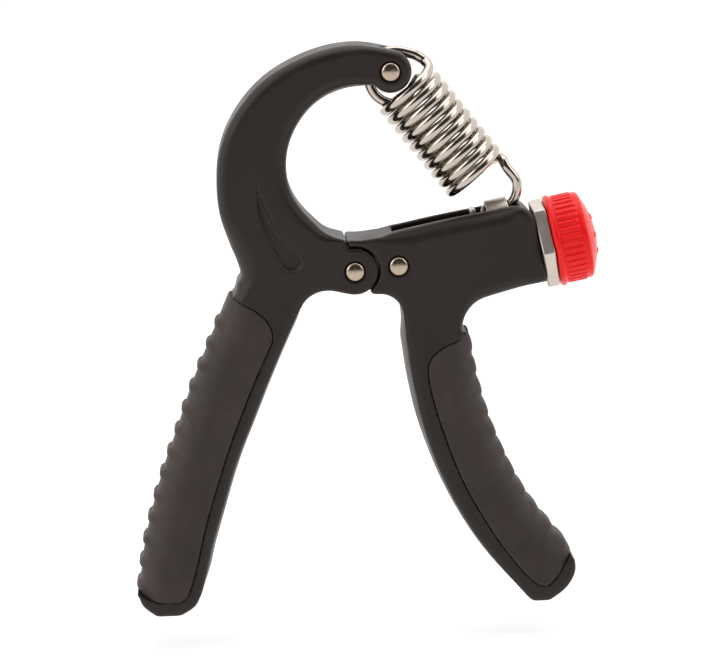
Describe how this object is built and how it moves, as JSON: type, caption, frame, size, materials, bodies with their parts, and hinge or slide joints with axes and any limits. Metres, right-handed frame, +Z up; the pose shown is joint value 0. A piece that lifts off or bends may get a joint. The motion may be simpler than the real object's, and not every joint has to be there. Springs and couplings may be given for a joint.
{
  "type": "hand grip strengthener",
  "caption": "Sprung hand grip exerciser: a C-shaped handle hinged to a T-shaped handle, a tension spring between them and a knob that winds the spring's hook along a screw.",
  "frame": {"origin": "middle of the bounding box in X and Y, on the ground plane under the two handle ends", "axes": "+Z up from the handle ends to the C-shaped arm, +X towards the adjusting knob, +Y through the thickness"},
  "size_m": [0.1316, 0.0256, 0.1564],
  "materials": {
    "moulded_body": "fine-grained matt moulding, warm black",
    "grip_rubber": "soft matt overmoulding, ribbed, slightly lighter than the body",
    "rivet_nickel": "bright nickel plate, warm tone",
    "spring_chrome": "bright plated spring wire",
    "collar_steel": "satin plated, fine turning marks",
    "inner_steel": "plain machined",
    "bronze": "plain machined",
    "knob_red": "glossy, bright red"
  },
  "bodies": {
    "left_side": {"left_handle": "moulded_body", "left_grip_pad": "grip_rubber", "pivot_rivet": "rivet_nickel", "spring_anchor_pin": "rivet_nickel"},
    "right_side": {"right_handle": "moulded_body", "right_grip_pad": "grip_rubber", "hinge_tongue": "inner_steel", "tongue_rivet": "rivet_nickel", "spindle_end_bush": "bronze"},
    "knob": {"adjusting_spindle": "inner_steel", "thrust_washer": "inner_steel", "hex_collar": "collar_steel", "adjusting_knob": "knob_red", "knob_insert": "bronze"},
    "carriage": {"carriage_nut": "inner_steel", "guide_plate": "collar_steel", "hook_saddle": "collar_steel"},
    "upper_loop": {"anchor_bush": "bronze", "spring_upper_turns": "spring_chrome"},
    "coil": {"spring_coil": "spring_chrome"},
    "hook": {"spring_lower_hook": "spring_chrome"}
  },
  "joints": [
    {"name": "handle_pivot", "type": "hinge", "parent": "left_side", "child": "right_side", "pos_m": [-0.0021, 0, 0.0947], "axis": [0, 1, 0], "range_deg": [0, 45], "stiffness_Nm_per_rad": 10, "springref_deg": -8.59},
    {"name": "knob_turn", "type": "hinge", "parent": "right_side", "child": "knob", "pos_m": [0.0487, 0, 0.0989], "axis": [0.9833, 0, 0.1822], "range_deg": [0, 2520]},
    {"name": "carriage_slide", "type": "slide", "parent": "right_side", "child": "carriage", "axis": [-0.9833, 0, -0.1822], "range_m": [0, 0.01051]},
    {"name": "anchor_turn", "type": "hinge", "parent": "left_side", "child": "upper_loop", "pos_m": [0.0093, 0, 0.149], "axis": [0, 1, 0], "range_deg": [0, 15.16]},
    {"name": "spring_swing", "type": "hinge", "parent": "upper_loop", "child": "coil", "pos_m": [0.0093, 0, 0.149], "axis": [0, 1, 0], "range_deg": [0, 12.18]},
    {"name": "spring_stretch", "type": "slide", "parent": "coil", "child": "hook", "axis": [0.5907, 0, -0.8069], "range_m": [0, 0.02855], "deforming": ["spring_upper_turns", "spring_coil", "spring_lower_hook"]}
  ],
  "couplings": [
    {"joint": "carriage_slide", "follows": "knob_turn", "m_per_rad": 0.00023873},
    {"joint": "spring_swing", "follows": "knob_turn", "ratio": 0.004829},
    {"joint": "anchor_turn", "follows": "handle_pivot", "ratio": 0.3367},
    {"joint": "spring_stretch", "follows": "handle_pivot", "m_per_rad": 0.03633}
  ]
}
